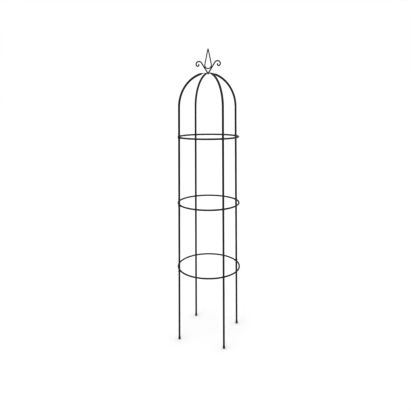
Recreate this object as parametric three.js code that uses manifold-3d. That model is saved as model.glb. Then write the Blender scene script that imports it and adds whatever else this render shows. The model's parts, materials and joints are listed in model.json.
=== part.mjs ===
// Garden obelisk: four tube legs, two bows that cross over them, three hoops and a scrolled finial.
// Millimetres, +Z up, origin on the ground under the apex. The finial lies in the XZ plane and the
// legs stand on the diagonals. The front is the -Y side.
import * as THREE from 'three';
import { mergeVertices } from 'three/addons/utils/BufferGeometryUtils.js';
import Module from 'manifold-3d';

const wasm = await Module();
wasm.setup();

// ---- driving dimensions -------------------------------------------------------------------------
const GAP = 0.3; // clearance between pieces that touch
const LEG_RADIUS = 5.5; // leg tube, outside
const LEG_WALL = 0.7;
const LEG_TILT = THREE.MathUtils.degToRad(1.3); // the legs splay outward going down
const SPRING_Z = 1558; // height of the centre of the dome's arcs
const ARCH_RADIUS = 205; // bend radius of the bows
const ARCH_OFFSET = 12; // each arc's centre lies this far past the axis from its leg
const JOINT_AT = [590, 1180]; // push-fit joints, measured along the leg from the ground
const NECK_LENGTH = 28; // swaged neck that enters the tube above
const SWAGE_LENGTH = 2; // length over which the bore narrows to the neck's
const RING_Z = { lower: 509, middle: 956.5, upper: 1382 };
const RING_BAR_RADIUS = 4.5;

const CAP_RADIUS = 7; // foot cap
const CAP_HEIGHT = 18;
const CAP_FLOOR = 3;
const CAP_EDGE = 0.9; // chamfer on the cap's rims

const EYE_RADIUS = 5.6; // flattened, drilled eye of a hoop at each leg
const EYE_THICKNESS = 4.6;
const EYE_LENGTH = 15; // length of bar pressed flat at an eye
const EYE_CLEARANCE = 0.46; // covers the leg's tilt over the eye's height
const BOLT_RADIUS = 2;
const BOLT_HEAD_RADIUS = 3.8;
const BOLT_HEAD_HEIGHT = 2.2;
const BOLT_TAIL = 1; // thread standing past the nut
const NUT_FLATS = 7;
const NUT_THICKNESS = 3.2;

const PRESS_FROM = 56; // a bow is pressed flat between these distances from the axis
const PRESS_TO = 28;
const LEVEL_FROM = 42; // and its centre line settles to its level at the crossing between these
const LEVEL_TO = 14;
const PRESSED_THICKNESS = 1.4;
const PRESSED_HALF_WIDTH = 7.8;
const CROSSING_Z = 1759.8; // middle of the two pressed tubes

const FLANGE_RADIUS = 8.2;
const FLANGE_HEIGHT = 1.5;
const FLANGE_EDGE = 0.4; // chamfer
const STUD_RADIUS = 2;
const STUD_TAIL = 1; // thread standing past the nut
const WASHER_RADIUS = 4.5;
const WASHER_THICKNESS = 0.8;

const APEX_Z = 1762.8; // zero height of the finial's outline
const SCROLL_ROD_RADIUS = 3.2;
const SCROLL_CENTRE = new THREE.Vector2(64.4, 46.3);
const SCROLL_RADIUS = 18.15; // at the top of the scroll
const SCROLL_SHRINK = 0.264; // the spiral's radius falls by this fraction in each radian of turn
const SCROLL_FROM = 160; // polar angle where the straight stem meets the scroll, degrees
const SCROLL_TO = -200;
const STEM_FOOT_X = 4;
const SPEAR_ROD_RADIUS = 2.7;
const SPEAR_HALF_WIDTH = 21;
const SPEAR_WIDEST = 43;
const SPEAR_BOTTOM = 23;
const SPEAR_TIP = 131;
const SPEAR_POINT = 6; // length of the ground point above the meeting of the two sides

const LEG_SIDES = 10;
const ROD_SIDES = 8;
const HOOP_STEPS = 56;
const ARC_STEPS = 15;
const CROWN_STEPS = 8;
const SCROLL_STEPS = 26;
const SPEAR_STEPS = 8;
const SMALL_SIDES = 8;

const CORNERS = { rear_right: 45, rear_left: 135, front_left: 225, front_right: 315 };
const BOWS = [['rear_right', 'front_left'], ['rear_left', 'front_right']]; // the lower one first

// ---- finishes -----------------------------------------------------------------------------------
function powderCoat() {
  return new THREE.MeshStandardMaterial({ color: 0x1f1f21, roughness: 0.5, metalness: 0.15 });
}

function blackZinc() {
  return new THREE.MeshStandardMaterial({ color: 0x26262a, roughness: 0.38, metalness: 0.75 });
}

function capPlastic() {
  return new THREE.MeshStandardMaterial({ color: 0x171718, roughness: 0.7, metalness: 0 });
}

// ---- solids and meshes --------------------------------------------------------------------------
function solidOf(geometry) {
  const bare = geometry.clone();
  bare.deleteAttribute('normal');
  bare.deleteAttribute('uv');
  const merged = mergeVertices(bare, 1e-4);
  const vertProperties = merged.attributes.position.array;
  const triVerts = new Uint32Array(merged.index.array);
  return new wasm.Manifold(new wasm.Mesh({ numProp: 3, vertProperties, triVerts }));
}

function geometryOf(solid) {
  const { numProp, vertProperties, triVerts } = solid.getMesh();
  const geometry = new THREE.BufferGeometry();
  geometry.setAttribute('position', new THREE.BufferAttribute(vertProperties, numProp));
  geometry.setIndex(new THREE.BufferAttribute(triVerts, 1));
  geometry.computeVertexNormals();
  return geometry;
}

function meshOf(name, shape, material) {
  const mesh = new THREE.Mesh(shape.isBufferGeometry ? shape : geometryOf(shape), material);
  mesh.name = name;
  return mesh;
}

// A body turned about the Z axis from [radius, height] points.
function turned(profile, sides) {
  const points = profile.map(([radius, height]) => new THREE.Vector2(radius, height));
  return new THREE.LatheGeometry(points, sides).rotateX(Math.PI / 2);
}

// A plain cylinder along X from x0 to x1, at height z.
function crossPin(radius, x0, x1, z, sides = SMALL_SIDES) {
  const pin = new THREE.CylinderGeometry(radius, radius, x1 - x0, sides);
  return pin.rotateZ(Math.PI / 2).translate((x0 + x1) / 2, 0, z);
}

function hexNut(flats, thickness, boreRadius) {
  const outline = new THREE.Shape();
  for (let i = 0; i < 6; i++) {
    const angle = (i * Math.PI) / 3;
    const radius = flats / Math.sqrt(3);
    outline[i ? 'lineTo' : 'moveTo'](radius * Math.cos(angle), radius * Math.sin(angle));
  }
  outline.closePath();
  outline.holes.push(new THREE.Path().absarc(0, 0, boreRadius, 0, 2 * Math.PI, true));
  const options = { depth: thickness, bevelEnabled: false, curveSegments: SMALL_SIDES / 2 };
  return new THREE.ExtrudeGeometry(outline, options);
}

// A path with one extrusion step for each of its stations, however they are spaced.
class Route extends THREE.Curve {
  constructor(stations) {
    super();
    this.stations = stations;
  }

  getPoint(t, target = new THREE.Vector3()) {
    const last = this.stations.length - 1;
    const index = Math.min(Math.floor(t * last), last - 1);
    return target.lerpVectors(this.stations[index], this.stations[index + 1], t * last - index);
  }

  getUtoTmapping(u) {
    return u;
  }
}

// A round bar along a list of stations in the XZ plane, each an [x, z] pair.
function barAlong(stations, radius, sides) {
  const section = new THREE.Shape();
  for (let i = 0; i < sides; i++) {
    const angle = (2 * Math.PI * (i + 0.5)) / sides;
    section[i ? 'lineTo' : 'moveTo'](radius * Math.cos(angle), radius * Math.sin(angle));
  }
  section.closePath();
  const path = new Route(stations.map(([x, z]) => new THREE.Vector3(x, 0, z)));
  const steps = stations.length - 1;
  return new THREE.ExtrudeGeometry(section, { steps, extrudePath: path, bevelEnabled: false });
}

const range = (count) => Array.from({ length: count + 1 }, (_, i) => i / count);

// ---- legs ---------------------------------------------------------------------------------------
const ARC_START_X = ARCH_RADIUS * Math.cos(LEG_TILT) - ARCH_OFFSET;
const ARC_START_Z = SPRING_Z + ARCH_RADIUS * Math.sin(LEG_TILT);
const FOOT_X = ARC_START_X + ARC_START_Z * Math.tan(LEG_TILT);
const legX = (z) => FOOT_X - z * Math.tan(LEG_TILT);

// A straight leg tube in its own frame: bore through, and a swaged neck on its top end.
function legTube(length) {
  const bore = LEG_RADIUS - LEG_WALL;
  const neck = bore - GAP;
  const neckBore = neck - LEG_WALL;
  return turned([
    [bore, 0],
    [LEG_RADIUS, 0],
    [LEG_RADIUS, length - GAP],
    [neck, length + GAP],
    [neck, length + NECK_LENGTH],
    [neckBore, length + NECK_LENGTH],
    [neckBore, length - SWAGE_LENGTH],
    [bore, length - 2 * SWAGE_LENGTH],
    [bore, 0],
  ], LEG_SIDES);
}

// Puts a body made along +Z onto the leg's sloping centre line, its base this far up the line.
function ontoLeg(geometry, along) {
  const x = FOOT_X - along * Math.sin(LEG_TILT);
  return geometry.rotateY(-LEG_TILT).translate(x, 0, along * Math.cos(LEG_TILT));
}

function boltHole(ringZ) {
  const x = legX(ringZ);
  return solidOf(crossPin(BOLT_RADIUS + GAP, x - 2 * LEG_RADIUS, x + 2 * LEG_RADIUS, ringZ));
}

function straightTube(from, to, ringZ) {
  return solidOf(ontoLeg(legTube(to - from - GAP), from)).subtract(boltHole(ringZ));
}

function footCap() {
  const body = solidOf(turned([
    [0, 0],
    [CAP_RADIUS - CAP_EDGE, 0],
    [CAP_RADIUS, CAP_EDGE],
    [CAP_RADIUS, CAP_HEIGHT - CAP_EDGE],
    [CAP_RADIUS - CAP_EDGE, CAP_HEIGHT],
    [0, CAP_HEIGHT],
  ], LEG_SIDES).translate(FOOT_X, 0, 0));
  const bore = LEG_RADIUS + GAP;
  const socket = new THREE.CylinderGeometry(bore, bore, 2 * CAP_HEIGHT, LEG_SIDES);
  socket.rotateX(Math.PI / 2).translate(0, 0, CAP_HEIGHT);
  return body.subtract(solidOf(ontoLeg(socket, CAP_FLOOR)));
}

// ---- bows ---------------------------------------------------------------------------------------
const CROSSING_HALF = PRESSED_THICKNESS + GAP / 2;
const smooth = (t) => THREE.MathUtils.smoothstep(t, 0, 1);

// Height of a bow's centre line at x, as it settles from its arc to its level at the crossing.
function crownZ(x, level) {
  const arc = SPRING_Z + Math.sqrt(ARCH_RADIUS ** 2 - (x + ARCH_OFFSET) ** 2);
  return THREE.MathUtils.lerp(arc, level, smooth((LEVEL_FROM - x) / (LEVEL_FROM - LEVEL_TO)));
}

// Stations of one side of a bow, from its push-fit joint to where the tube starts to be pressed flat.
function roundStations() {
  const jointZ = JOINT_AT[1] * Math.cos(LEG_TILT);
  const topAngle = Math.acos((PRESS_FROM + ARCH_OFFSET) / ARCH_RADIUS);
  const arc = range(ARC_STEPS).map((t) => {
    const angle = THREE.MathUtils.lerp(LEG_TILT, topAngle, t);
    const x = ARCH_RADIUS * Math.cos(angle) - ARCH_OFFSET;
    return [x, SPRING_Z + ARCH_RADIUS * Math.sin(angle)];
  });
  return [[legX(jointZ), jointZ], ...arc];
}

// Presses a bow flat where it crosses the other.
function pressed(geometry, level) {
  const position = geometry.attributes.position;
  const half = PRESSED_THICKNESS / 2;
  for (let i = 0; i < position.count; i++) {
    const x = Math.abs(position.getX(i));
    if (x > PRESS_FROM) continue;
    const press = smooth((PRESS_FROM - x) / (PRESS_FROM - PRESS_TO));
    const wide = THREE.MathUtils.lerp(1, PRESSED_HALF_WIDTH / LEG_RADIUS, press);
    const middle = crownZ(x, level);
    const flat = middle + THREE.MathUtils.clamp(position.getZ(i) - middle, -half, half);
    position.setY(i, position.getY(i) * wide);
    position.setZ(i, THREE.MathUtils.lerp(position.getZ(i), flat, press));
  }
  return geometry;
}

// A bow in the XZ plane: a bent tube, bored from each end to where it is pressed, and drilled.
function bow(slot) {
  const level = CROSSING_Z + (slot - 0.5) * (PRESSED_THICKNESS + GAP);
  const crown = range(CROWN_STEPS).slice(1).map((t) => PRESS_FROM * (1 - t));
  const side = [...roundStations(), ...crown.map((x) => [x, crownZ(x, level)])];
  const farSide = side.slice(0, -1).reverse().map(([x, z]) => [-x, z]);
  const outside = solidOf(pressed(barAlong([...side, ...farSide], LEG_RADIUS, LEG_SIDES), level));
  const boreRadius = LEG_RADIUS - LEG_WALL;
  const mouth = new THREE.CylinderGeometry(boreRadius, boreRadius, 2 * NECK_LENGTH, LEG_SIDES);
  const cuts = [
    solidOf(barAlong(roundStations(), boreRadius, LEG_SIDES)),
    solidOf(ontoLeg(mouth.rotateX(Math.PI / 2), JOINT_AT[1])),
    boltHole(RING_Z.upper),
  ];
  const stud = crossPin(STUD_RADIUS + GAP, -2 * CROSSING_HALF, 2 * CROSSING_HALF, 0);
  return cuts
    .flatMap((cut) => [cut, cut.rotate([0, 0, 180])])
    .reduce((solid, cut) => solid.subtract(cut), outside)
    .subtract(solidOf(stud.rotateY(Math.PI / 2).translate(0, 0, CROSSING_Z)));
}

// ---- hoops and their bolts ----------------------------------------------------------------------
const EYE_OUT = LEG_RADIUS + EYE_CLEARANCE; // from the leg's centre line to the eye
const hoopRadius = (z) => legX(z) - EYE_OUT - EYE_THICKNESS / 2;

function hoop(z) {
  const radius = hoopRadius(z);
  const bar = new THREE.TorusGeometry(radius, RING_BAR_RADIUS, ROD_SIDES, HOOP_STEPS);
  let solid = solidOf(bar.translate(0, 0, z));
  for (const corner of Object.values(CORNERS)) {
    const turn = THREE.MathUtils.degToRad(corner);
    const place = (geometry) => solidOf(geometry.rotateZ(turn));
    const press = (x0, x1) => {
      const slab = new THREE.BoxGeometry(x1 - x0, EYE_LENGTH, 4 * RING_BAR_RADIUS);
      return place(slab.translate((x0 + x1) / 2, 0, z));
    };
    const inner = radius - EYE_THICKNESS / 2;
    const outer = radius + EYE_THICKNESS / 2;
    solid = solid
      .subtract(press(outer, outer + RING_BAR_RADIUS))
      .subtract(press(inner - RING_BAR_RADIUS, inner))
      .add(place(crossPin(EYE_RADIUS, inner, outer, z, LEG_SIDES)))
      .subtract(place(crossPin(BOLT_RADIUS + GAP, inner - GAP, outer + GAP, z)));
  }
  return solid;
}

const NUT_IN = EYE_OUT + EYE_THICKNESS + GAP; // from the leg's centre line to the nut
const BOLT_HEAD_OUT = LEG_RADIUS + EYE_CLEARANCE;

function ringBolt() {
  const tail = -(NUT_IN + NUT_THICKNESS + BOLT_TAIL);
  const bolt = turned([
    [0, tail],
    [BOLT_RADIUS, tail],
    [BOLT_RADIUS, BOLT_HEAD_OUT],
    [BOLT_HEAD_RADIUS, BOLT_HEAD_OUT],
    [BOLT_HEAD_RADIUS, BOLT_HEAD_OUT + 0.4 * BOLT_HEAD_HEIGHT],
    [0.6 * BOLT_HEAD_RADIUS, BOLT_HEAD_OUT + BOLT_HEAD_HEIGHT],
    [0, BOLT_HEAD_OUT + BOLT_HEAD_HEIGHT],
  ], SMALL_SIDES);
  return bolt.rotateY(Math.PI / 2);
}

function ringNut() {
  const nut = hexNut(NUT_FLATS, NUT_THICKNESS, BOLT_RADIUS + GAP);
  return nut.translate(0, 0, -NUT_IN - NUT_THICKNESS).rotateY(Math.PI / 2);
}

// ---- finial -------------------------------------------------------------------------------------
const FLANGE_Z = CROSSING_Z + CROSSING_HALF + GAP;
const FLANGE_TOP = FLANGE_Z + FLANGE_HEIGHT;
const WASHER_Z = CROSSING_Z - CROSSING_HALF - GAP - WASHER_THICKNESS;
const STUD_NUT_Z = WASHER_Z - GAP - NUT_THICKNESS;

function finialBase() {
  return turned([
    [0, STUD_NUT_Z - STUD_TAIL],
    [STUD_RADIUS, STUD_NUT_Z - STUD_TAIL],
    [STUD_RADIUS, FLANGE_Z],
    [FLANGE_RADIUS, FLANGE_Z],
    [FLANGE_RADIUS, FLANGE_TOP - FLANGE_EDGE],
    [FLANGE_RADIUS - FLANGE_EDGE, FLANGE_TOP],
    [0, FLANGE_TOP],
  ], LEG_SIDES);
}

function finialWasher() {
  const bore = STUD_RADIUS + GAP;
  return turned([
    [bore, WASHER_Z],
    [WASHER_RADIUS, WASHER_Z],
    [WASHER_RADIUS, WASHER_Z + WASHER_THICKNESS],
    [bore, WASHER_Z + WASHER_THICKNESS],
    [bore, WASHER_Z],
  ], LEG_SIDES);
}

function finialNut() {
  return hexNut(NUT_FLATS, NUT_THICKNESS, STUD_RADIUS + GAP).translate(0, 0, STUD_NUT_Z);
}

// Centre line of a scroll: a straight stem from inside the flange, tangent to a shrinking spiral.
function scrollStations() {
  const spiral = range(SCROLL_STEPS).map((t) => {
    const angle = THREE.MathUtils.degToRad(THREE.MathUtils.lerp(SCROLL_FROM, SCROLL_TO, t));
    const radius = SCROLL_RADIUS * Math.exp(-SCROLL_SHRINK * (Math.PI / 2 - angle));
    return new THREE.Vector2(Math.cos(angle), Math.sin(angle))
      .multiplyScalar(radius)
      .add(SCROLL_CENTRE);
  });
  const foot = new THREE.Vector2(STEM_FOOT_X, FLANGE_TOP - APEX_Z);
  const run = spiral[0].clone().sub(foot).normalize();
  foot.addScaledVector(run, -SCROLL_ROD_RADIUS);
  return [foot, ...spiral].map(({ x, y }) => [x, APEX_Z + y]);
}

// The stem's end is sawn level, just above the flange.
function scroll(side) {
  const bar = barAlong(scrollStations(), SCROLL_ROD_RADIUS, ROD_SIDES);
  const seat = new THREE.BoxGeometry(2 * FLANGE_RADIUS, 2 * FLANGE_RADIUS, FLANGE_RADIUS);
  seat.translate(FLANGE_RADIUS / 2, 0, FLANGE_TOP + GAP - FLANGE_RADIUS / 2);
  const solid = solidOf(bar).subtract(solidOf(seat));
  return side > 0 ? solid : solid.rotate([0, 0, 180]);
}

// One side of the pointed loop: a round bottom, then a straight run to the tip.
function spearStations(side) {
  const depth = SPEAR_WIDEST - SPEAR_BOTTOM;
  const past = Math.asin(depth / (SPEAR_TIP - SPEAR_WIDEST));
  const round = range(SPEAR_STEPS).map((t) => {
    const angle = t * (Math.PI / 2 + past);
    return [SPEAR_HALF_WIDTH * Math.sin(angle), SPEAR_WIDEST - depth * Math.cos(angle)];
  });
  return [...round, [0, SPEAR_TIP]].map(([x, z]) => [side * x, APEX_Z + z]);
}

function spear() {
  const sides = [-1, 1].map((side) => (
    solidOf(barAlong(spearStations(side), SPEAR_ROD_RADIUS, ROD_SIDES))
  ));
  const point = turned([[0, -SPEAR_POINT], [SPEAR_ROD_RADIUS, -SPEAR_POINT], [0, SPEAR_POINT]], ROD_SIDES);
  return sides[0].add(sides[1]).add(solidOf(point.translate(0, 0, APEX_Z + SPEAR_TIP)));
}

// ---- assembly -----------------------------------------------------------------------------------
const obelisk = new THREE.Group();

for (const [corner, degrees] of Object.entries(CORNERS)) {
  const leg = new THREE.Group();
  leg.rotation.z = THREE.MathUtils.degToRad(degrees);
  const base = CAP_FLOOR + GAP;
  leg.add(
    meshOf(`foot_cap_${corner}`, footCap(), capPlastic()),
    meshOf(`leg_lower_${corner}`, straightTube(base, JOINT_AT[0], RING_Z.lower), powderCoat()),
    meshOf(`leg_middle_${corner}`, straightTube(...JOINT_AT, RING_Z.middle), powderCoat()),
  );
  for (const [level, z] of Object.entries(RING_Z)) {
    const fixing = new THREE.Group();
    fixing.position.set(legX(z), 0, z);
    fixing.add(
      meshOf(`ring_bolt_${level}_${corner}`, ringBolt(), blackZinc()),
      meshOf(`ring_nut_${level}_${corner}`, ringNut(), blackZinc()),
    );
    leg.add(fixing);
  }
  obelisk.add(leg);
}

BOWS.forEach(([near, far], slot) => {
  const mesh = meshOf(`bow_${near}_to_${far}`, bow(slot), powderCoat());
  mesh.rotation.z = THREE.MathUtils.degToRad(CORNERS[near]);
  obelisk.add(mesh);
});

for (const [level, z] of Object.entries(RING_Z)) {
  obelisk.add(meshOf(`ring_${level}`, hoop(z), powderCoat()));
}

obelisk.add(
  meshOf('finial_scroll_right', scroll(1), powderCoat()),
  meshOf('finial_scroll_left', scroll(-1), powderCoat()),
  meshOf('finial_spear', spear(), powderCoat()),
  meshOf('finial_base', finialBase(), powderCoat()),
  meshOf('finial_washer', finialWasher(), blackZinc()),
  meshOf('finial_nut', finialNut(), blackZinc()),
);

export default obelisk;
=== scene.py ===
"""Garden obelisk: the detailed visual model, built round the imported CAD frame. Metres, +Z up."""

import json
import math

import bmesh
import bpy
from mathutils import Matrix, Vector


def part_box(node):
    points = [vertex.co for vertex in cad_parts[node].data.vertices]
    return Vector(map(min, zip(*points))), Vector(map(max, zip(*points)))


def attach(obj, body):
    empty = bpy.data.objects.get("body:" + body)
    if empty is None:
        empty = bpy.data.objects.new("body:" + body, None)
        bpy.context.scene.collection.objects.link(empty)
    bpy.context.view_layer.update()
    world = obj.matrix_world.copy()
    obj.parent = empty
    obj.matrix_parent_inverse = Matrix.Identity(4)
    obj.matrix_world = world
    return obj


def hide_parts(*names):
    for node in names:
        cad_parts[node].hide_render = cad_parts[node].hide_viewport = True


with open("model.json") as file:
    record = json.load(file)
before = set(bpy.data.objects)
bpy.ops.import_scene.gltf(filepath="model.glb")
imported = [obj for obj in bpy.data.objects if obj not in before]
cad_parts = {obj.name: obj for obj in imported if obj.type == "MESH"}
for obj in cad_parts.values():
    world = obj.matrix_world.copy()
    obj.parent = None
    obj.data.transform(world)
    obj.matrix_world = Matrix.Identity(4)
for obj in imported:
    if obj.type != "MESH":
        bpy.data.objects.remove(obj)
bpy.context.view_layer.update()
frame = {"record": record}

MM = 0.001
QUARTER = math.pi / 2
CORNERS = {"rear_right": 45, "rear_left": 135, "front_left": 225, "front_right": 315}
BOWS = (("rear_right", "front_left"), ("rear_left", "front_right"))  # the lower one first
LEVELS = ("lower", "middle", "upper")

# ---- driving dimensions, the same as the CAD's ---------------------------------------------------
GAP = 0.3 * MM
LEG_RADIUS = 5.5 * MM
LEG_WALL = 0.7 * MM
NECK_LENGTH = 28 * MM
ARCH_RADIUS = 205 * MM
ARCH_OFFSET = 12 * MM
SPRING_Z = 1558 * MM
PRESS_FROM = 56 * MM
PRESS_TO = 28 * MM
LEVEL_FROM = 42 * MM
LEVEL_TO = 14 * MM
PRESSED_THICKNESS = 1.4 * MM
PRESSED_HALF_WIDTH = 7.8 * MM
CROSSING_PITCH = 1.7 * MM
CAP_RADIUS = 7 * MM
CAP_FLOOR = 3 * MM
CAP_EDGE = 0.9 * MM
HOOP_BAR = 4.5 * MM
EYE_RADIUS = 5.6 * MM
EYE_THICKNESS = 4.6 * MM
EYE_CLEARANCE = 0.46 * MM
EYE_OUT = LEG_RADIUS + EYE_CLEARANCE
BOLT_RADIUS = 2 * MM
BOLT_HEAD_RADIUS = 3.8 * MM
BOLT_TAIL = 1 * MM
NUT_FLATS = 7 * MM
NUT_THICKNESS = 3.2 * MM
STUD_RADIUS = 2 * MM
FLANGE_RADIUS = 8.2 * MM
FLANGE_HEIGHT = 1.5 * MM
SCROLL_ROD = 3.2 * MM
SCROLL_CENTRE = Vector((64.4 * MM, 46.3 * MM))
SCROLL_RADIUS = 18.15 * MM
SCROLL_SHRINK = 0.264
SCROLL_FROM = math.radians(160)
SCROLL_TO = math.radians(-200)
STEM_FOOT_X = 4 * MM
SPEAR_ROD = 2.7 * MM
SPEAR_WIDEST = 43 * MM
SPEAR_BOTTOM = 23 * MM
SPEAR_TIP = 131 * MM
SPEAR_POINT = 6 * MM

# ---- details finer than the CAD's ----------------------------------------------------------------
SIDES = 32  # points round a swept tube or bar
TURNED_SIDES = 48  # points round a turned body
NUT_SIDES = 60
WELD_SIDES = 72
BEAD_SIDES = 20
FLOOR_SIDES = 96
THREAD_PITCH = 0.7 * MM
NUT_PLAY = 0.05 * MM  # between a nut's bore and its thread, and between its face and its seat
MERGE_DISTANCE = 0.0001 * MM
TOUCH = 0.25 * MM  # how far a clamped piece grows to meet its neighbour
HAIR = 0.01 * MM  # keeps two edges from falling on the same points
FILLET_STEPS = 4
FILLET_ROOM = 2.2  # a corner is rounded where both edges are this many fillets long
SEAM = 0.02 * MM  # half the saw cut between the spear loop's two ends
STEM_STEPS = 30
WELD_FILLET = ((1.2, -0.3), (1.1, 0.05), (0.75, 0.3), (0.4, 0.65), (0.15, 1.1), (-0.3, 1.5))  # mm

# ---- places worked out from the frame ------------------------------------------------------------
foot_mount = next(m for m in frame["record"]["mounts"] if m["name"] == "foot_rear_right")
FOOT_X = math.hypot(*foot_mount["pos_m"][:2])
HOOP_Z = {}
HOOP_RADIUS = {}
for level in LEVELS:
    low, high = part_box(f"ring_{level}")
    HOOP_Z[level] = (low.z + high.z) / 2
    HOOP_RADIUS[level] = high.x - HOOP_BAR
TAN_TILT = (HOOP_RADIUS["lower"] - HOOP_RADIUS["upper"]) / (HOOP_Z["upper"] - HOOP_Z["lower"])
TILT = math.atan(TAN_TILT)
JOINT_Z = (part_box("leg_middle_rear_right")[0].z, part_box("bow_rear_right_to_front_left")[0].z)
CAP_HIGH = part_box("foot_cap_rear_right")[1]
FLANGE_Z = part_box("finial_base")[1].z - FLANGE_HEIGHT
WASHER_LOW, WASHER_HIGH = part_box("finial_washer")
CROSSING_Z = (FLANGE_Z + WASHER_HIGH.z) / 2
FLANGE_TOP = FLANGE_Z + FLANGE_HEIGHT
SPEAR_LOW, SPEAR_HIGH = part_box("finial_spear")
APEX_Z = SPEAR_LOW.z + SPEAR_ROD - SPEAR_BOTTOM
SPEAR_HALF_WIDTH = SPEAR_HIGH.x - SPEAR_ROD


def leg_x(z):
    """How far a leg's centre line stands from the axis at height z."""
    return FOOT_X - z * TAN_TILT


def spiral_point(angle):
    """Centre of the scroll's rod at a polar angle, as (x, height above the apex)."""
    radius = SCROLL_RADIUS * math.exp(-SCROLL_SHRINK * (QUARTER - angle))
    return SCROLL_CENTRE + Vector((math.cos(angle), math.sin(angle))) * radius


STEM_FOOT = Vector((STEM_FOOT_X, FLANGE_TOP - APEX_Z))
STEM_RUN = spiral_point(SCROLL_FROM) - STEM_FOOT
STEM_LEAN = math.atan2(STEM_RUN.x, STEM_RUN.y)


# ---- mesh helpers --------------------------------------------------------------------------------
def lerp(a, b, t):
    return a + (b - a) * t


def smooth(t):
    """Eases from 0 to 1 as t goes from 0 to 1."""
    t = min(max(t, 0.0), 1.0)
    return t * t * (3 - 2 * t)


def spread(start, end, count):
    """count + 1 evenly spaced values from start to end."""
    return [lerp(start, end, i / count) for i in range(count + 1)]


def loft(rings, around=False, caps=(True, True)):
    """Verts and faces of a skin over rings of points. around joins the last ring to the first."""
    sides = len(rings[0])
    verts = [tuple(p) for ring in rings for p in ring]
    faces = []
    for i in range(len(rings) - (0 if around else 1)):
        a, b = i * sides, (i + 1) % len(rings) * sides
        for j in range(sides):
            k = (j + 1) % sides
            faces.append((a + j, a + k, b + k, b + j))
    if not around:
        if caps[0]:
            faces.append(tuple(range(sides))[::-1])
        if caps[1]:
            faces.append(tuple(range(len(verts) - sides, len(verts))))
    return verts, faces


def ring_at(radius_of, z, sides):
    """A ring of points round the Z axis. radius_of gives the radius at an angle."""
    angles = [2 * math.pi * i / sides for i in range(sides)]
    return [(radius_of(a) * math.cos(a), radius_of(a) * math.sin(a), z) for a in angles]


def turned_rings(profile, sides=TURNED_SIDES):
    """Rings round the Z axis through a profile of (radius, z) points."""
    return [ring_at(lambda a, r=r: r, z, sides) for r, z in profile]


def fillet(corner, size, before, after):
    """Profile points that round off a corner between the points before and after it."""
    corner = Vector(corner)
    a, b = (corner + (Vector(p) - corner).normalized() * size for p in (before, after))
    return [
        tuple(a * (1 - t) ** 2 + corner * 2 * t * (1 - t) + b * t**2)
        for t in spread(0, 1, FILLET_STEPS)
    ]


def rounded(profile, size):
    """The profile with each inner corner that has room for it rounded off."""
    made = [profile[0]]
    for before, corner, after in zip(profile, profile[1:], profile[2:]):
        room = min((Vector(corner) - Vector(p)).length for p in (before, after))
        if room > FILLET_ROOM * size:
            made += fillet(corner, size, before, after)
        else:
            made.append(corner)
    return [*made, profile[-1]]


def placed(shape, matrix):
    """The shape moved and turned by the matrix."""
    verts, faces = shape
    return [tuple(matrix @ Vector(v)) for v in verts], faces


def merged(*shapes):
    """One shape made of several closed skins."""
    verts, faces = [], []
    for more, skins in shapes:
        base = len(verts)
        verts += more
        faces += [tuple(i + base for i in face) for face in skins]
    return verts, faces


def piece(name, shape, material, nodes, sharp=35):
    """A finished piece of the object, riding on the root body in place of its CAD nodes."""
    verts, faces = shape
    mesh = bpy.data.meshes.new(name)
    mesh.from_pydata(verts, [], faces)
    work = bmesh.new()
    work.from_mesh(mesh)
    bmesh.ops.remove_doubles(work, verts=work.verts, dist=MERGE_DISTANCE)
    bmesh.ops.recalc_face_normals(work, faces=work.faces)
    work.to_mesh(mesh)
    work.free()
    mesh.polygons.foreach_set("use_smooth", [True] * len(mesh.polygons))
    mesh.set_sharp_from_angle(angle=math.radians(sharp))
    mesh.materials.append(material)
    made = bpy.data.objects.new(name, mesh)
    bpy.context.scene.collection.objects.link(made)
    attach(made, "root")
    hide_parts(*nodes)


def corner_turn(corner):
    """Turns a body made in the XZ plane to the leg at a corner."""
    return Matrix.Rotation(math.radians(CORNERS[corner]), 4, "Z")


# ---- materials -----------------------------------------------------------------------------------
def node(tree, kind, inputs=None, **settings):
    """A new node. Each input is linked where it is given a socket, and set where it is a value."""
    made = tree.nodes.new(kind)
    for key, value in settings.items():
        setattr(made, key, value)
    for key, value in (inputs or {}).items():
        if isinstance(value, bpy.types.NodeSocket):
            tree.links.new(value, made.inputs[key])
        else:
            made.inputs[key].default_value = value
    return made


def new_material(name, viewport):
    """An empty node material, its tree and the position of the shaded point."""
    material = bpy.data.materials.new(name)
    material.use_nodes = True
    material.diffuse_color = (*viewport, 1)
    tree = material.node_tree
    tree.nodes.clear()
    place = node(tree, "ShaderNodeNewGeometry").outputs["Position"]
    return material, tree, place


def noise(tree, place, scale, detail=2.0, roughness=0.5):
    inputs = {"Vector": place, "Scale": scale, "Detail": detail, "Roughness": roughness}
    return node(tree, "ShaderNodeTexNoise", inputs).outputs["Fac"]


def ramp(tree, factor, low, high, dark, light):
    """A colour ramp from dark at low to light at high."""
    made = node(tree, "ShaderNodeValToRGB", {"Fac": factor})
    for element, position, colour in zip(made.color_ramp.elements, (low, high), (dark, light)):
        element.position = position
        element.color = (*colour, 1)
    return made.outputs["Color"]


def remap(tree, factor, low, high, start, end):
    """The factor carried from the range low..high to start..end."""
    inputs = {"Value": factor, "From Min": low, "From Max": high, "To Min": start, "To Max": end}
    return node(tree, "ShaderNodeMapRange", inputs).outputs["Result"]


def bump(tree, height, strength, distance, normal=None):
    inputs = {"Height": height, "Strength": strength, "Distance": distance}
    if normal:
        inputs["Normal"] = normal
    return node(tree, "ShaderNodeBump", inputs).outputs["Normal"]


def finish_material(material, tree, inputs):
    shader = node(tree, "ShaderNodeBsdfPrincipled", inputs)
    node(tree, "ShaderNodeOutputMaterial", {"Surface": shader.outputs["BSDF"]})
    return material


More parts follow.
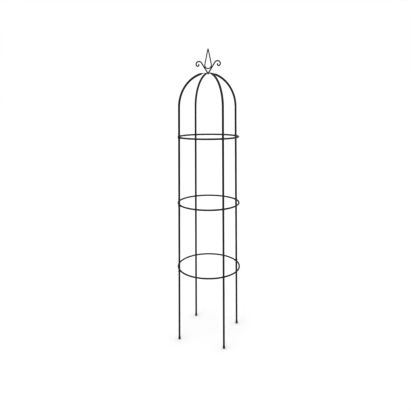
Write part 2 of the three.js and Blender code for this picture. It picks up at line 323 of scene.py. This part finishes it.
def powder_coat():
    """Satin black powder coat: orange peel, a fine grain, patches of sheen and settled dust."""
    material, tree, place = new_material("powder_coat_black", (0.02, 0.02, 0.021))
    patches = noise(tree, place, 28, 4, 0.6)
    specks = noise(tree, place, 1100, 1)
    base = ramp(tree, patches, 0.3, 0.72, (0.0247, 0.0247, 0.0265), (0.0403, 0.0403, 0.0416))
    dust = remap(tree, specks, 0.69, 0.78, 0.0, 0.8)
    mix = node(
        tree, "ShaderNodeMix", {0: dust, 6: base, 7: (0.104, 0.101, 0.096, 1)}, data_type="RGBA"
    )
    peel = bump(tree, noise(tree, place, 420, 2, 0.4), 0.4, 0.00011)
    grain = bump(tree, noise(tree, place, 2600, 1), 0.3, 0.00001, peel)
    return finish_material(material, tree, {
        "Base Color": mix.outputs[2],
        "Roughness": remap(tree, patches, 0.3, 0.72, 0.38, 0.50),
        "Specular IOR Level": 0.6,
        "Normal": grain,
    })


def black_zinc():
    """Black zinc plating on machine-cut steel: dark, faintly iridescent, with fine tool marks."""
    material, tree, place = new_material("black_zinc", (0.04, 0.04, 0.045))
    tint = noise(tree, place, 260, 3)
    stretch = node(tree, "ShaderNodeMapping", {"Vector": place, "Scale": (1, 1, 9)})
    marks = noise(tree, stretch.outputs["Vector"], 1400, 2)
    colour = ramp(tree, tint, 0.35, 0.7, (0.0780, 0.0780, 0.0884), (0.1716, 0.1586, 0.1352))
    return finish_material(material, tree, {
        "Base Color": colour,
        "Metallic": 0.85,
        "Roughness": remap(tree, marks, 0.3, 0.7, 0.28, 0.44),
        "Normal": bump(tree, marks, 0.2, 0.00005),
    })


def cap_plastic():
    """Matt moulded plastic with a spark-eroded grain, scuffed paler towards the ground."""
    material, tree, place = new_material("cap_plastic_black", (0.015, 0.015, 0.015))
    grain = noise(tree, place, 1500, 2, 0.6)
    patches = noise(tree, place, 160, 3, 0.6)
    height = node(tree, "ShaderNodeSeparateXYZ", {"Vector": place}).outputs["Z"]
    low = remap(tree, height, 0.0, 0.005, 0.32, 0.0)
    scuffed = node(tree, "ShaderNodeMath", {0: patches, 1: low}, operation="ADD").outputs[0]
    colour = ramp(tree, scuffed, 0.35, 0.85, (0.040, 0.040, 0.041), (0.105, 0.102, 0.096))
    return finish_material(material, tree, {
        "Base Color": colour,
        "Roughness": remap(tree, grain, 0.3, 0.7, 0.55, 0.75),
        "Specular IOR Level": 0.5,
        "Normal": bump(tree, grain, 0.5, 0.00006),
    })


# ---- sections and sweeps -------------------------------------------------------------------------
def stadium(half_thickness, half_width):
    """Flat-sided section with round edges, as (across, along) pairs matching a circle's points."""
    half_flat = half_width - half_thickness
    points = []
    for i in range(SIDES):
        angle = 2 * math.pi * i / SIDES
        quarter, part = divmod((angle / QUARTER + 0.5) % 4, 1)
        sign = 1 if quarter < 2 else -1
        if quarter % 2 == 0:
            points.append((sign * half_thickness, sign * lerp(-half_flat, half_flat, part)))
        else:
            turn = part * math.pi
            points.append((
                sign * half_thickness * math.cos(turn),
                sign * (half_flat + half_thickness * math.sin(turn)),
            ))
    return points


def circle(radius):
    angles = [2 * math.pi * i / SIDES for i in range(SIDES)]
    return [(radius * math.cos(a), radius * math.sin(a)) for a in angles]


def blend(a, b, t):
    """The section between a and b, at t."""
    return [(lerp(p[0], q[0], t), lerp(p[1], q[1], t)) for p, q in zip(a, b)]


def sweep_rings(line, sections):
    """Rings along a line of (x, z) points. A section's first number lies in the XZ plane."""
    rings = []
    for i, (x, z) in enumerate(line):
        before, after = line[max(i - 1, 0)], line[min(i + 1, len(line) - 1)]
        along = Vector((after[0] - before[0], after[1] - before[1])).normalized()
        out = Vector((-along.y, along.x))
        rings.append([(x + out.x * u, v, z + out.y * u) for u, v in sections[i]])
    return rings


# ---- legs ----------------------------------------------------------------------------------------
def tube_profile(length):
    """Closed profile of a leg tube: bore through, eased edges and a swaged neck at the top."""
    bore = LEG_RADIUS - LEG_WALL
    neck = bore - 0.2 * MM
    inside = neck - LEG_WALL
    mouth_width, mouth_depth, shoulder = 0.3 * MM, 0.4 * MM, 0.3 * MM
    bore_narrows, bore_narrowed, easing = 5 * MM, 2 * MM, 0.22 * MM
    return rounded([
        (bore, mouth_depth),
        (bore + mouth_width, 0),
        (LEG_RADIUS, 0),
        (LEG_RADIUS, length - shoulder),
        (neck, length + shoulder),
        (neck, length + NECK_LENGTH),
        (inside, length + NECK_LENGTH),
        (inside, length - bore_narrowed),
        (bore, length - bore_narrows),
    ], easing)


def on_leg(z):
    """Puts a body made along +Z onto the leg's sloping centre line, its base at height z."""
    return Matrix.Translation((leg_x(z), 0, z)) @ Matrix.Rotation(-TILT, 4, "Y")


def leg_tube(z0, z1):
    """Leg tube from z0 to just under the next one at z1."""
    length = (z1 - z0) / math.cos(TILT) - GAP
    return placed(loft(turned_rings(tube_profile(length)), around=True), on_leg(z0))


def foot_cap():
    """Moulded cup on the leg's end: soft rims, a fine parting line and a dished underside."""
    height, socket = CAP_HIGH.z, LEG_RADIUS + 0.05 * MM
    seam, seam_half, seam_depth = height * 0.42, 0.25 * MM, 0.12 * MM
    dish_inner, dish_outer, dish_depth = CAP_RADIUS * 0.45, CAP_RADIUS * 0.55, 0.3 * MM
    middle, easing = 0.4 * MM, 0.35 * MM
    cup = loft(turned_rings(rounded([
        (middle, dish_depth),
        (dish_inner, dish_depth),
        (dish_outer, 0),
        (CAP_RADIUS - CAP_EDGE, 0),
        (CAP_RADIUS, CAP_EDGE),
        (CAP_RADIUS, seam - seam_half),
        (CAP_RADIUS - seam_depth, seam),
        (CAP_RADIUS, seam + seam_half),
        (CAP_RADIUS, height - CAP_EDGE),
        (CAP_RADIUS - CAP_EDGE, height),
        (socket, height),
        (socket, CAP_FLOOR),
        (middle, CAP_FLOOR),
    ], easing)))
    lean = Matrix.Identity(4)
    lean[0][2] = -TAN_TILT
    return placed(cup, Matrix.Translation((FOOT_X, 0, 0)) @ lean)


# ---- bows ----------------------------------------------------------------------------------------
def crown_z(x, level):
    """Height of a bow's centre line at x, where its arc settles to its level at the crossing."""
    arc = SPRING_Z + math.sqrt(ARCH_RADIUS**2 - (x + ARCH_OFFSET) ** 2)
    return lerp(arc, level, smooth((LEVEL_FROM - x) / (LEVEL_FROM - LEVEL_TO)))


def bow_side(level):
    """Centre line of one side of a bow, from its joint up to the crossing, as (x, z) points."""
    straight_steps, arc_steps, crown_steps = 14, 60, 44
    arc_start = SPRING_Z + ARCH_RADIUS * math.sin(TILT)
    arc_end = math.acos((PRESS_FROM + ARCH_OFFSET) / ARCH_RADIUS)
    line = [(leg_x(z), z) for z in spread(JOINT_Z[1], arc_start, straight_steps)[:-1]]
    for angle in spread(TILT, arc_end, arc_steps):
        x = ARCH_RADIUS * math.cos(angle) - ARCH_OFFSET
        line.append((x, SPRING_Z + ARCH_RADIUS * math.sin(angle)))
    return line + [(x, crown_z(x, level)) for x in spread(PRESS_FROM, 0, crown_steps)[1:]]


def bow_section(x):
    """Round tube, pressed flat towards the crossing."""
    press = smooth((PRESS_FROM - x) / (PRESS_FROM - PRESS_TO))
    return blend(circle(LEG_RADIUS), stadium(PRESSED_THICKNESS / 2, PRESSED_HALF_WIDTH), press)


def bow(slot):
    """A bow in the XZ plane, open at both ends and bored up to where it is pressed."""
    line = bow_side(CROSSING_Z + (slot - 0.5) * CROSSING_PITCH)
    x_near, z_near = line[-2]
    past_crossing = [*line, (-x_near, z_near)]
    outer = sweep_rings(past_crossing, [bow_section(abs(x)) for x, _ in past_crossing])
    bored = [p for p in line if p[0] > PRESS_FROM]
    inner = sweep_rings(bored, [circle(LEG_RADIUS - LEG_WALL)] * len(bored))
    easing = 0.25 * MM
    lip = sweep_rings(line[:2], [circle(LEG_RADIUS - easing)] * 2)[0]
    x_end, z_end = line[0]
    eased = [(x_end - easing * TAN_TILT, z_end + easing), line[1]]
    shoulder = sweep_rings(eased, [circle(LEG_RADIUS)] * 2)[0]
    side = [*reversed(inner), lip, shoulder, *outer[1:-1]]
    far_side = [[(-x, y, z) for x, y, z in ring] for ring in reversed(side[:-1])]
    return loft(side + far_side)


# ---- hoops ---------------------------------------------------------------------------------------
def hoop_stations(radius):
    """Angles round a hoop, each with its distance along the bar from the nearest bolt."""
    eye_end, easing_end, halfway = 9 * MM, 24 * MM, QUARTER * radius / 2
    half = [0]
    runs = ((0, eye_end, 22), (eye_end, easing_end, 14), (easing_end, halfway, 18))
    for start, end, steps in runs:
        half += spread(start, end, steps)[1:]
    along = [-s for s in reversed(half[1:-1])] + half
    return [
        (math.radians(degrees) + s / radius, abs(s))
        for degrees in sorted(CORNERS.values())
        for s in along
    ]


def eye_section(along):
    """Section of the hoop this far along from a bolt: a forged flat eye, easing into round bar."""
    round_from, flat_to, softness = 16 * MM, 7 * MM, 0.8 * MM
    press = smooth((round_from - along) / (round_from - flat_to))
    disc = math.sqrt(max(EYE_RADIUS**2 - along**2, 0))
    height = HOOP_BAR + softness * math.log1p(math.exp((disc - HOOP_BAR) / softness))
    return blend(circle(HOOP_BAR), stadium(EYE_THICKNESS / 2, min(height, EYE_RADIUS)), press)


def round_hoop(level, angle, section):
    """Ring of points where a section of (out, up) pairs stands on a hoop at an angle."""
    radius, z = HOOP_RADIUS[level], HOOP_Z[level]
    return [
        ((radius + out) * math.cos(angle), (radius + out) * math.sin(angle), z + up)
        for out, up in section
    ]


def hoop(level):
    """Rolled hoop of round bar, forged flat into an eye where each bolt goes through."""
    seat_depth, seat_from, seat_to = 0.4 * MM, 10 * MM, 6 * MM
    rings = []
    for angle, along in hoop_stations(HOOP_RADIUS[level]):
        seat = seat_depth * smooth((seat_from - along) / (seat_from - seat_to))
        section = [(out + (seat if out > 0 else 0), up) for out, up in eye_section(along)]
        rings.append(round_hoop(level, angle, section))
    return loft(rings, around=True)


def hoop_weld(level):
    """Dressed butt weld where the hoop's two ends meet, midway between two legs."""
    half, sunk, height, ripple, ripples = 3.2 * MM, 0.06 * MM, 0.38 * MM, 0.07 * MM, 9
    rings = []
    for t in spread(-1, 1, 22):
        swell = math.cos(t * QUARTER) * (height + ripple * math.sin(t * ripples))
        angle = QUARTER + t * half / HOOP_RADIUS[level]
        rings.append(round_hoop(level, angle, circle(HOOP_BAR - sunk + swell)))
    return loft(rings)


# ---- fasteners -----------------------------------------------------------------------------------
def hexagon(flats):
    """A function that gives the radius of a hexagon at an angle."""
    def radius_at(angle):
        offset = (angle + math.pi / 6) % (math.pi / 3) - math.pi / 6
        return flats / 2 / math.cos(offset)
    return radius_at


def thread_rings(radius, z0, z1):
    """Rings of a screw thread from z0 to z1, with rounded crests and roots, fading at z0."""
    depth, fade_length = 0.54 * THREAD_PITCH, 1.2 * THREAD_PITCH
    rings_a_turn, end_depth = 8, 0.8
    rings = []
    for z in spread(z0, z1, round((z1 - z0) / THREAD_PITCH * rings_a_turn)):
        fade = smooth((z - z0) / fade_length)

        def radius_at(angle, z=z, fade=fade):
            wave = abs(((z / THREAD_PITCH - angle / (2 * math.pi)) % 1) * 2 - 1)
            return radius - depth * (fade * smooth(wave) + (1 - fade) * end_depth)

        rings.append(ring_at(radius_at, z, TURNED_SIDES))
    return rings


def button_bolt(length):
    """Socket button-head screw along Z: underside of the head at 0, shank down to -length."""
    top, band_low, band_high = 2.3 * MM, 0.25 * MM, 0.75 * MM
    socket_flats, socket_depth, socket_tip = 2.5 * MM, 1.3 * MM, 1.8 * MM
    thread_end, shank_start = 4.3 * MM, 4.4 * MM
    button_turn, button_share, button_pull = math.radians(62), 0.52, 1.15
    edge = BOLT_HEAD_RADIUS
    shank = [(BOLT_RADIUS, shank_start - length), (BOLT_RADIUS, 0)]
    head = [(edge - band_low, 0), (edge, band_low), (edge, band_high)]
    for turn in spread(0, button_turn, 8)[1:]:
        crown = edge * (1 - button_share + button_share * math.cos(turn * button_pull))
        head.append((crown, lerp(band_high, top, math.sin(turn) / math.sin(button_turn))))
    rim, rim_edge, rim_drop, key_drop = socket_flats / 2 * 1.22, 0.12 * MM, 0.1 * MM, 0.22 * MM
    head += [(rim + rim_edge, top), (rim, top - rim_drop)]
    key = hexagon(socket_flats)
    socket = [ring_at(key, z, TURNED_SIDES) for z in (top - key_drop, top - socket_depth)]
    drill = turned_rings([(0.3 * MM, top - socket_tip)])
    thread = thread_rings(BOLT_RADIUS, HAIR - length, thread_end - length)
    return loft([*thread, *turned_rings(shank + head), *socket, *drill])


def hex_nut(flats, thickness, bore):
    """Hexagon nut on the Z axis from 0 to thickness, chamfered at its corners and its bore."""
    outline = hexagon(flats)

    def cut(limit):
        return lambda angle: min(outline(angle), limit)

    face_share, slope, chamfer = 0.985, 1.73, 0.35 * MM
    lower = [
        (flats / 2 * face_share + slope * z, z)
        for z in (0, 0.12 * MM, 0.24 * MM, 0.36 * MM, 0.5 * MM)
    ]
    upper = [(limit, thickness - z) for limit, z in reversed(lower)]
    rings = [ring_at(cut(limit), z, NUT_SIDES) for limit, z in lower + upper]
    wide = bore + chamfer
    hole = [(wide, thickness), (bore, thickness - chamfer), (bore, chamfer), (wide, 0)]
    return loft(rings + turned_rings(hole, NUT_SIDES), around=True)


def outward(level):
    """Turns a body made along +Z to point out of a leg at a hoop's height."""
    z = HOOP_Z[level]
    return Matrix.Translation((leg_x(z), 0, z)) @ Matrix.Rotation(math.pi / 2, 4, "Y")


def spin(degrees):
    """However far a fastener happened to turn when it was tightened."""
    return Matrix.Rotation(math.radians(degrees), 4, "Z")


def ring_bolt(corner, level):
    sunk, turn = 0.1 * MM, 17 * (CORNERS[corner] / 45 + len(level))
    nut_back = EYE_OUT + EYE_THICKNESS + GAP + NUT_THICKNESS
    bolt = button_bolt(LEG_RADIUS + nut_back + BOLT_TAIL)
    seat = Matrix.Translation((0, 0, LEG_RADIUS - sunk))
    return placed(bolt, corner_turn(corner) @ outward(level) @ seat @ spin(turn))


def ring_nut(corner, level):
    turn = 11 * (CORNERS[corner] / 45 + 2 * len(level))
    back = EYE_OUT + EYE_THICKNESS + NUT_THICKNESS + NUT_PLAY
    nut = hex_nut(NUT_FLATS, NUT_THICKNESS, BOLT_RADIUS + NUT_PLAY)
    seat = Matrix.Translation((0, 0, -back))
    return placed(nut, corner_turn(corner) @ outward(level) @ seat @ spin(turn))


# ---- finial --------------------------------------------------------------------------------------
def finial_base():
    """Flange with eased edges on a stud, threaded where it stands out under its nut."""
    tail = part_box("finial_base")[0].z
    seat = FLANGE_Z - TOUCH
    thread_length, plain_from, middle, easing = 6 * MM, 6.2 * MM, 0.8 * MM, 0.6 * MM
    thread = thread_rings(STUD_RADIUS, tail + HAIR, tail + thread_length)
    profile = rounded([
        (STUD_RADIUS, tail + plain_from),
        (STUD_RADIUS, seat),
        (FLANGE_RADIUS, seat),
        (FLANGE_RADIUS, FLANGE_TOP),
        (middle, FLANGE_TOP),
    ], easing)
    return loft(thread + turned_rings(profile))


def finial_washer():
    bore, radius, easing = STUD_RADIUS + 0.2 * MM, WASHER_HIGH.x, 0.25 * MM
    low, high = WASHER_LOW.z, WASHER_HIGH.z + TOUCH
    profile = [(bore, low), (radius, low), (radius, high), (bore, high), (bore, low + HAIR)]
    return loft(turned_rings(rounded(profile, easing)[:-1]), around=True)


def finial_nut():
    low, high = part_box("finial_nut")
    nut = hex_nut(NUT_FLATS, high.z - low.z + TOUCH, STUD_RADIUS + NUT_PLAY)
    return placed(nut, Matrix.Translation((0, 0, low.z)))


def scroll_line():
    """Centre line of the right-hand scroll: a straight stem, tangent to a shrinking spiral."""
    below_flange, spiral_steps = 0.5 * MM, 120
    spiral = [spiral_point(angle) for angle in spread(SCROLL_FROM, SCROLL_TO, spiral_steps)]
    foot = STEM_FOOT - STEM_RUN.normalized() * below_flange
    stem = [foot.lerp(spiral[0], t) for t in spread(0, 1, STEM_STEPS)]
    return [(p.x, APEX_Z + p.y) for p in stem[:-1] + spiral]


def domed_end(line, radius):
    """The line run on over a dome, with the share of the radius left at each of its points."""
    (x0, z0), (x1, z1) = line[-2:]
    along = Vector((x1 - x0, z1 - z0)).normalized()
    shares, run_on, last_turn = [1.0] * len(line), [], QUARTER * 0.97
    for turn in spread(0, last_turn, 8)[1:]:
        point = Vector((x1, z1)) + along * radius * math.sin(turn)
        run_on.append((point.x, point.y))
        shares.append(math.cos(turn))
    return line + run_on, shares


def sawn_level(line, radius, cut_z):
    """End ring of a round rod that leans along a line, cut level at cut_z."""
    (x0, z0), (x1, z1) = line[:2]
    along = Vector((x1 - x0, z1 - z0)).normalized()
    ring = []
    for u, v in circle(radius):
        ahead = (cut_z - z0 - along.x * u) / along.y
        ring.append((x0 + along.x * ahead - along.y * u, v, cut_z))
    return ring


def scroll(side):
    """A scroll on the right where side is 1, or on the left where it is -1."""
    sunk = 0.2 * MM
    line, shares = domed_end(scroll_line(), SCROLL_ROD)
    rings = sweep_rings(line, [circle(SCROLL_ROD * share) for share in shares])
    foot = sawn_level(line, SCROLL_ROD, FLANGE_TOP - sunk)
    above = next(i for i, ring in enumerate(rings) if min(z for _, _, z in ring) > FLANGE_TOP)
    rod = loft([foot, *rings[above:]])
    return placed(rod, Matrix.Rotation(0 if side > 0 else math.pi, 4, "Z"))


def spear_half():
    """Centre line of the loop's right side: a round bottom, then a straight run to the tip."""
    round_steps, straight_steps = 36, 40
    depth = SPEAR_WIDEST - SPEAR_BOTTOM
    past_widest = math.asin(depth / (SPEAR_TIP - SPEAR_WIDEST))
    line = []
    for angle in spread(0, QUARTER + past_widest, round_steps):
        z = SPEAR_WIDEST - depth * math.cos(angle)
        line.append((SPEAR_HALF_WIDTH * math.sin(angle), APEX_Z + z))
    x, z = line[-1]
    tip = APEX_Z + SPEAR_TIP + SPEAR_POINT
    for t in spread(0, 1, straight_steps)[1:]:
        line.append((lerp(x, 0, t), lerp(z, tip, t)))
    return line


def spear():
    """The loop as one bar, mitred where its two ends meet and drawn down to a point."""
    right = spear_half()
    line = [(-x, z) for x, z in reversed(right)] + right[1:]
    tip, blunt, ground_length = right[-1][1], 0.08, 15 * MM
    sections = []
    for _, z in line:
        taper = min(1.0, blunt + (tip - z) / ground_length)
        sections.append(circle(SPEAR_ROD * math.sqrt(taper)))
    rings = sweep_rings(line, sections)
    half = len(rings) // 2
    for i, ring in enumerate(rings):
        side = -1 if i < half else 1
        if line[i][1] > APEX_Z + SPEAR_WIDEST:
            rings[i] = [(side * max(side * x, SEAM), y, z) for x, y, z in ring]
    return loft(rings)


def weld_collar(side):
    """Fillet of weld round a stem's foot, rippled along its run and kept on the flange."""
    reach = FLANGE_RADIUS - 0.45 * MM
    fine, fine_count, coarse, coarse_count = 0.14, 19, 0.08, 5
    rings = []
    for out, up in WELD_FILLET:
        ring = []
        for i in range(WELD_SIDES):
            angle = 2 * math.pi * i / WELD_SIDES
            ripple = 1 + fine * math.sin(fine_count * angle)
            ripple += coarse * math.sin(coarse_count * angle + side)
            radius = SCROLL_ROD + out * MM * ripple
            x = side * (STEM_FOOT_X + radius * math.cos(angle) / math.cos(STEM_LEAN))
            y = radius * math.sin(angle)
            keep = min(1.0, reach / math.hypot(x, y))
            x, y = x * keep, y * keep
            ring.append((x + side * up * MM * math.tan(STEM_LEAN), y, FLANGE_TOP + up * MM))
        rings.append(ring)
    return loft(rings)


def weld_bead(x, z, lean, y):
    """Short bead of weld in the groove between the loop and a stem."""
    thickest, half_length, ripple, ripples, blunt = 1.65 * MM, 4.6 * MM, 0.06, 22, 0.004
    profile = []
    for t in spread(-1, 1, 26):
        swell = math.sqrt(max(1 - t * t, blunt))
        radius = thickest * swell * (1 + ripple * math.sin(t * ripples))
        profile.append((radius, t * half_length))
    turn = Matrix.Translation((x, y, z)) @ Matrix.Rotation(lean, 4, "Y")
    return placed(loft(turned_rings(profile, BEAD_SIDES)), turn)


def nearest_gap():
    """Middle of the narrowest gap between the loop and the right stem, and the lean there."""
    stem, loop = scroll_line()[:STEM_STEPS], spear_half()
    pairs = [(math.dist(a, b), i, b) for i, a in enumerate(stem) for b in loop]
    _, i, b = min(pairs)
    a, after = stem[i], stem[i + 1]
    lean = math.atan2(after[0] - a[0], after[1] - a[1])
    return (a[0] + b[0]) / 2, (a[1] + b[1]) / 2, lean


def welds():
    """A collar round each stem's foot, and a bead front and back where the loop meets each stem."""
    x, z, lean = nearest_gap()
    groove = 1.9 * MM
    beads = [
        weld_bead(side * x, z, side * lean, y) for side in (-1, 1) for y in (-groove, groove)
    ]
    return merged(*[weld_collar(side) for side in (-1, 1)], *beads)


# ---- the pieces ----------------------------------------------------------------------------------
def build_object():
    materials = {
        "powder_coat": powder_coat(), "black_zinc": black_zinc(), "cap_plastic": cap_plastic(),
    }

    def detailed(cad_node, suffix, shape, slot):
        piece(f"{cad_node}_{suffix}", shape, materials[slot], [cad_node])

    def coated(cad_node, suffix, shape):
        detailed(cad_node, suffix, shape, "powder_coat")

    for corner in CORNERS:
        turn = corner_turn(corner)
        detailed(f"foot_cap_{corner}", "moulding", placed(foot_cap(), turn), "cap_plastic")
        coated(f"leg_lower_{corner}", "tube", placed(leg_tube(CAP_FLOOR + GAP, JOINT_Z[0]), turn))
        coated(f"leg_middle_{corner}", "tube", placed(leg_tube(*JOINT_Z), turn))
        for level in LEVELS:
            place = f"{level}_{corner}"
            detailed(f"ring_bolt_{place}", "screw", ring_bolt(corner, level), "black_zinc")
            detailed(f"ring_nut_{place}", "hex", ring_nut(corner, level), "black_zinc")
    for slot, (near, far) in enumerate(BOWS):
        coated(f"bow_{near}_to_{far}", "tube", placed(bow(slot), corner_turn(near)))
    for level in LEVELS:
        coated(f"ring_{level}", "bar", merged(hoop(level), hoop_weld(level)))
    for side, word in ((1, "right"), (-1, "left")):
        coated(f"finial_scroll_{word}", "rod", scroll(side))
    coated("finial_spear", "rod", spear())
    coated("finial_base", "flange", finial_base())
    piece("finial_welds", welds(), materials["powder_coat"], [], sharp=60)
    detailed("finial_washer", "disc", finial_washer(), "black_zinc")
    detailed("finial_nut", "hex", finial_nut(), "black_zinc")


# ---- studio --------------------------------------------------------------------------------------
LIGHT_AT_HORIZON = 0.66
LIGHT_OVERHEAD = 1.06
VIEW_GAMMA = 0.60  # keeps thin dark bars as bold against white as they look in print


def direction_to(azimuth, height):
    """Unit vector towards an azimuth from the front and a height above the floor, in radians."""
    level = math.cos(height)
    return Vector((math.sin(azimuth) * level, -math.cos(azimuth) * level, math.sin(height)))


def floor():
    """Plain pale floor that runs out past the horizon."""
    material, tree, place = new_material("studio_floor", (0.92, 0.92, 0.92))
    mottle = noise(tree, place, 3, 2)
    colour = ramp(tree, mottle, 0.3, 0.7, (0.916, 0.916, 0.916), (0.920, 0.920, 0.920))
    finish_material(material, tree, {
        "Base Color": colour,
        "Roughness": 0.9,
        "Specular IOR Level": 0.1,
    })
    outline = [(radius, 0) for radius in (0.05, 0.5, 5, 50, 400)]
    verts, faces = loft(turned_rings(outline, FLOOR_SIDES), caps=(True, False))
    mesh = bpy.data.meshes.new("studio_floor")
    mesh.from_pydata(verts, [], [face[::-1] for face in faces])
    mesh.materials.append(material)
    made = bpy.data.objects.new("studio_floor", mesh)
    bpy.context.scene.collection.objects.link(made)


def backdrop():
    """White seamless backdrop. The light that reaches the object falls off towards the horizon."""
    world = bpy.data.worlds.new("studio")
    bpy.context.scene.world = world
    world.use_nodes = True
    tree = world.node_tree
    tree.nodes.clear()
    direction = node(tree, "ShaderNodeTexCoord").outputs["Generated"]
    up = node(tree, "ShaderNodeSeparateXYZ", {"Vector": direction}).outputs["Z"]
    strength = remap(tree, up, 0.0, 1.0, LIGHT_AT_HORIZON, LIGHT_OVERHEAD)
    lit, seen = (
        node(tree, "ShaderNodeBackground", {"Color": (1, 1, 1, 1), "Strength": value}).outputs[0]
        for value in (strength, 1.0)
    )
    by_camera = node(tree, "ShaderNodeLightPath").outputs["Is Camera Ray"]
    mix = node(tree, "ShaderNodeMixShader", {0: by_camera, 1: lit, 2: seen})
    node(tree, "ShaderNodeOutputWorld", {"Surface": mix.outputs[0]})


def softbox(name, azimuth, height, softness, power):
    """Very large, far-off soft light. azimuth and height are the directions it shines from."""
    data = bpy.data.lights.new(name, "SUN")
    data.angle = math.radians(softness)
    data.energy = power
    made = bpy.data.objects.new(name, data)
    source = direction_to(math.radians(azimuth), math.radians(height))
    made.rotation_euler = source.to_track_quat("Z", "Y").to_euler()
    made.location = source * 4
    bpy.context.scene.collection.objects.link(made)


def studio():
    view = bpy.context.scene.view_settings
    view.view_transform = "Standard"
    view.gamma = VIEW_GAMMA
    floor()
    backdrop()
    softbox("key", -30, 52, 60, 0.6)
    softbox("rim", 150, 35, 45, 0.3)


def camera():
    """Camera at the height of the dome's springing, looking slightly down."""
    azimuth, distance, height = math.radians(19.3), 2.429, 1.580
    pan, pitch, roll = math.radians(-0.48), math.radians(14.89), math.radians(-0.33)
    data = bpy.data.cameras.new("camera")
    data.sensor_width = 36
    data.lens = 33.43
    made = bpy.data.objects.new("camera", data)
    bpy.context.scene.collection.objects.link(made)
    ahead = -direction_to(-pan, pitch)
    level_right = Vector((math.cos(pan), -math.sin(pan), 0))
    level_up = level_right.cross(ahead)
    right = level_right * math.cos(roll) + level_up * math.sin(roll)
    up = level_up * math.cos(roll) - level_right * math.sin(roll)
    turn = Matrix((right, up, -ahead)).transposed().to_4x4()
    place = Matrix.Translation((0, -distance, height))
    made.matrix_world = Matrix.Rotation(azimuth, 4, "Z") @ place @ turn
    bpy.context.scene.camera = made


build_object()
studio()
camera()
